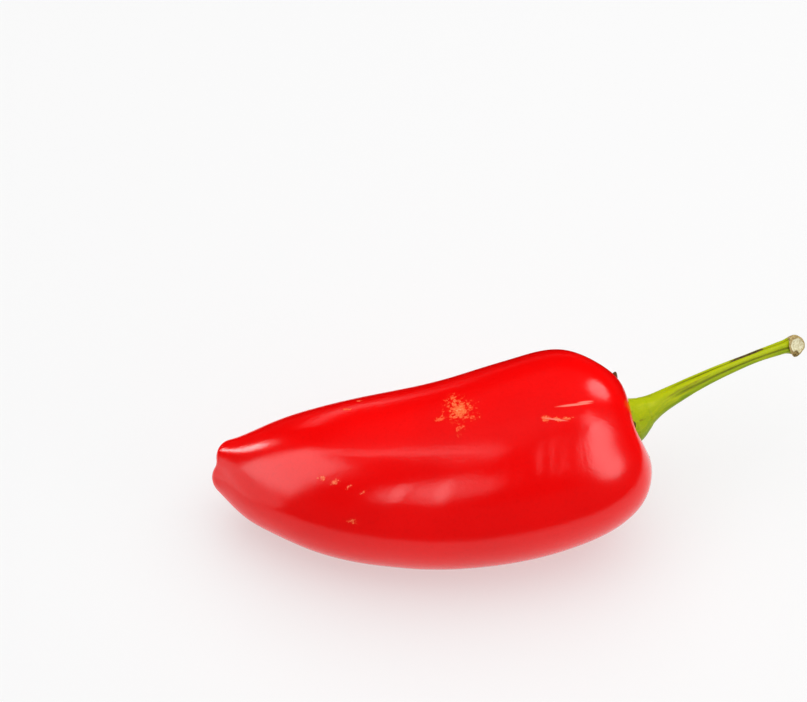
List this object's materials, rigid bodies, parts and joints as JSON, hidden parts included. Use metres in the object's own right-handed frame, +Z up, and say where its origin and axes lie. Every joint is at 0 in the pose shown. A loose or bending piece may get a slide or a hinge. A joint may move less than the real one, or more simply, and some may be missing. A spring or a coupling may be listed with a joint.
{
  "type": "chilli pepper",
  "caption": "Ripe red chilli pepper as picked, lying on its side: a broad glossy lobed pod tapering to a blunt tip, capped by a green toothed calyx and a ribbed green stalk.",
  "frame": {"origin": "on the surface it lies on, under the middle of the whole pepper's box", "axes": "+X from the blossom tip towards the stalk, +Y towards the side the stalk and the tip bend to, +Z up"},
  "size_m": [0.1402, 0.0584, 0.046],
  "materials": {
    "pod_skin": "waxy glossy red skin with slightly rough corky marks",
    "calyx_green": "satin yellow-green, darker brown at the tips of the teeth",
    "stem_green": "satin yellow-green with brown lengthwise lines, tan corky end"
  },
  "bodies": {
    "root": {"pod": "pod_skin", "calyx": "calyx_green", "stem": "stem_green"}
  },
  "joints": []
}
